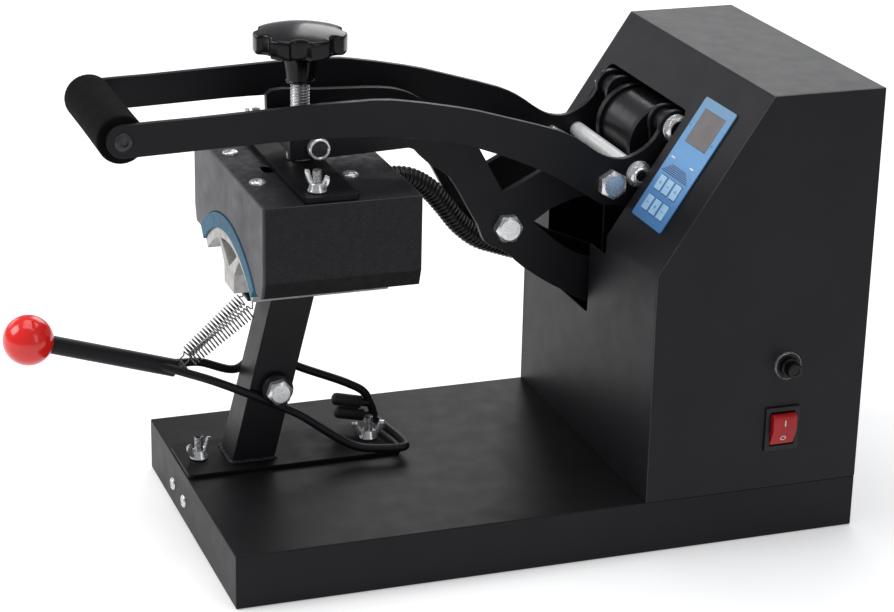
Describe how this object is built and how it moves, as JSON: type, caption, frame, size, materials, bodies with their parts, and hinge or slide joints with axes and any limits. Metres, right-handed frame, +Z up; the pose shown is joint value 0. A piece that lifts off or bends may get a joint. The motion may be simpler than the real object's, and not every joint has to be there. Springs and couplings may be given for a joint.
{
  "type": "cap heat press",
  "caption": "Swing-down heat press for caps: arched silicone mould on a post, heated head on a hinged arm, long handle, pressure knob and brim lever.",
  "frame": {"origin": "centre of the base's underside", "axes": "+X to the switch side, which is the operator's right, +Y to the rear, +Z up; the operator stands at -Y"},
  "size_m": [0.2588, 0.5719, 0.3495],
  "materials": {
    "black_paint": "satin black powder coat",
    "head_paint": "fine-textured black powder coat",
    "grey_paint": "grey powder coat",
    "bottom_sheet": "dark sheet steel",
    "zinc": "bright zinc plate",
    "spring_steel": "plain spring wire",
    "screw_steel": "turned steel",
    "cast_aluminium": "matte casting",
    "platen_aluminium": "machined and slightly heat-toned",
    "silicone": "matte blue silicone",
    "foam": "matte black foam",
    "black_rubber": "soft black sleeve",
    "black_gloss": "glossy black phenolic",
    "red_gloss": "glossy red phenolic",
    "black_plastic": "matte black",
    "red_plastic": "clear red",
    "blue_fascia": "satin blue film",
    "display_grey": "dark window",
    "key_blue": "satin light blue",
    "fuse_glass": "clear fuse body",
    "corrugated": "matte black ribbed tube"
  },
  "bodies": {
    "press_base": {"base_tray": "black_paint", "bottom_plate": "bottom_sheet", "housing_wrap": "black_paint", "side_panel_right": "black_paint", "side_panel_left": "black_paint", "rear_panel": "black_paint", "power_inlet": "black_plastic", "pivot_frame": "black_paint", "arm_shaft": "zinc", "handle_stub_right": "zinc", "handle_stub_left": "zinc", "fascia": "blue_fascia", "display": "display_grey", "switch_body": "red_plastic", "fuse_holder": "black_plastic", "mould_plate": "black_paint", "post": "black_paint", "mould_casting": "cast_aluminium", "mould_pad": "silicone", "lever_bolt": "zinc", "brim_spring_right": "spring_steel", "brim_spring_left": "spring_steel", "conduit": "corrugated"},
    "press_arm": {"arm_plate_right": "black_paint", "arm_plate_left": "black_paint", "arm_hub": "black_paint", "arm_tie_bolt": "zinc", "clamp_block": "black_paint", "clamp_pin_right": "zinc", "clamp_pin_left": "zinc"},
    "heat_head": {"bridge": "black_paint", "head_cover": "head_paint", "head_front": "grey_paint", "heat_platen": "platen_aluminium"},
    "pressure_knob": {"pressure_screw": "screw_steel", "knob": "black_gloss"},
    "head_nut_right": {"head_wing_right": "zinc"},
    "head_nut_left": {"head_wing_left": "zinc"},
    "press_handle": {"handle_plate_right": "black_paint", "handle_plate_left": "black_paint", "cross_rod": "zinc", "handle_bolt_right": "zinc", "handle_bolt_left": "zinc", "grip_rod": "zinc", "grip_foam": "foam"},
    "brim_lever": {"lever_frame": "black_paint", "lever_ball": "red_gloss", "lever_sleeve_upper": "black_rubber", "lever_sleeve_lower": "black_rubber"},
    "mould_nut_front": {"wing_nut_front": "zinc"},
    "mould_nut_rear": {"wing_nut_rear": "zinc"},
    "power_rocker": {"rocker": "red_plastic"},
    "fuse_carrier": {"fuse_cartridge": "fuse_glass"},
    "fuse_knob": {"fuse_cap": "black_plastic"},
    "button_1": {"key_1": "key_blue"},
    "button_2": {"key_2": "key_blue"},
    "button_3": {"key_3": "key_blue"},
    "button_4": {"key_4": "key_blue"},
    "button_5": {"key_5": "key_blue"},
    "button_6": {"key_6": "key_blue"}
  },
  "joints": [
    {"name": "arm_hinge", "type": "hinge", "parent": "press_base", "child": "press_arm", "pos_m": [-0.0355, 0.124, 0.25347], "axis": [-1, 0, 0], "range_deg": [0, 34], "deforming": ["conduit"]},
    {"name": "handle_hinge", "type": "hinge", "parent": "press_base", "child": "press_handle", "pos_m": [-0.0355, 0.1175, 0.27347], "axis": [-1, 0, 0], "range_deg": [0, 60]},
    {"name": "head_slide", "type": "slide", "parent": "press_arm", "child": "heat_head", "axis": [0, 0, 1], "range_m": [0, 0.006], "deforming": ["conduit"]},
    {"name": "knob_turn", "type": "hinge", "parent": "heat_head", "child": "pressure_knob", "pos_m": [-0.0355, -0.1365, 0.33], "axis": [0, 0, 1], "range_deg": [0, 1080]},
    {"name": "head_nut_right_spin", "type": "hinge", "parent": "heat_head", "child": "head_nut_right", "pos_m": [0.0395, -0.1465, 0.262], "axis": [0, 0, 1], "continuous": true},
    {"name": "head_nut_left_spin", "type": "hinge", "parent": "heat_head", "child": "head_nut_left", "pos_m": [-0.1105, -0.1465, 0.262], "axis": [0, 0, 1], "continuous": true},
    {"name": "lever_hinge", "type": "hinge", "parent": "press_base", "child": "brim_lever", "pos_m": [-0.0355, -0.158, 0.0945], "axis": [1, 0, 0], "range_deg": [0, 20], "stiffness_Nm_per_rad": 0.8, "springref_deg": -40.11, "deforming": ["brim_spring_right", "brim_spring_left"]},
    {"name": "mould_nut_front_spin", "type": "hinge", "parent": "press_base", "child": "mould_nut_front", "pos_m": [-0.0355, -0.21, 0.048], "axis": [0, 0, 1], "continuous": true},
    {"name": "mould_nut_rear_spin", "type": "hinge", "parent": "press_base", "child": "mould_nut_rear", "pos_m": [-0.0355, -0.085, 0.048], "axis": [0, 0, 1], "continuous": true},
    {"name": "rocker_hinge", "type": "hinge", "parent": "press_base", "child": "power_rocker", "pos_m": [0.122, 0.1644, 0.082], "axis": [0, -1, 0], "range_deg": [0, 24]},
    {"name": "fuse_pull", "type": "slide", "parent": "press_base", "child": "fuse_carrier", "axis": [1, 0, 0], "range_m": [0, 0.03]},
    {"name": "fuse_turn", "type": "hinge", "parent": "fuse_carrier", "child": "fuse_knob", "pos_m": [0.125, 0.1656, 0.1284], "axis": [1, 0, 0], "range_deg": [0, 90]},
    {"name": "button_1_press", "type": "slide", "parent": "press_base", "child": "button_1", "axis": [0, 0.8342, -0.5514], "range_m": [0, 0.0005], "stiffness_N_per_m": 150, "springref_m": -0.0005},
    {"name": "button_2_press", "type": "slide", "parent": "press_base", "child": "button_2", "axis": [0, 0.8342, -0.5514], "range_m": [0, 0.0005], "stiffness_N_per_m": 150, "springref_m": -0.0005},
    {"name": "button_3_press", "type": "slide", "parent": "press_base", "child": "button_3", "axis": [0, 0.8342, -0.5514], "range_m": [0, 0.0005], "stiffness_N_per_m": 150, "springref_m": -0.0005},
    {"name": "button_4_press", "type": "slide", "parent": "press_base", "child": "button_4", "axis": [0, 0.8342, -0.5514], "range_m": [0, 0.0005], "stiffness_N_per_m": 150, "springref_m": -0.0005},
    {"name": "button_5_press", "type": "slide", "parent": "press_base", "child": "button_5", "axis": [0, 0.8342, -0.5514], "range_m": [0, 0.0005], "stiffness_N_per_m": 150, "springref_m": -0.0005},
    {"name": "button_6_press", "type": "slide", "parent": "press_base", "child": "button_6", "axis": [0, 0.8342, -0.5514], "range_m": [0, 0.0005], "stiffness_N_per_m": 150, "springref_m": -0.0005}
  ],
  "couplings": [
    {"joint": "handle_hinge", "follows": "arm_hinge", "ratio": 1.7647},
    {"joint": "knob_turn", "follows": "head_slide", "rad_per_m": 3141.6}
  ]
}
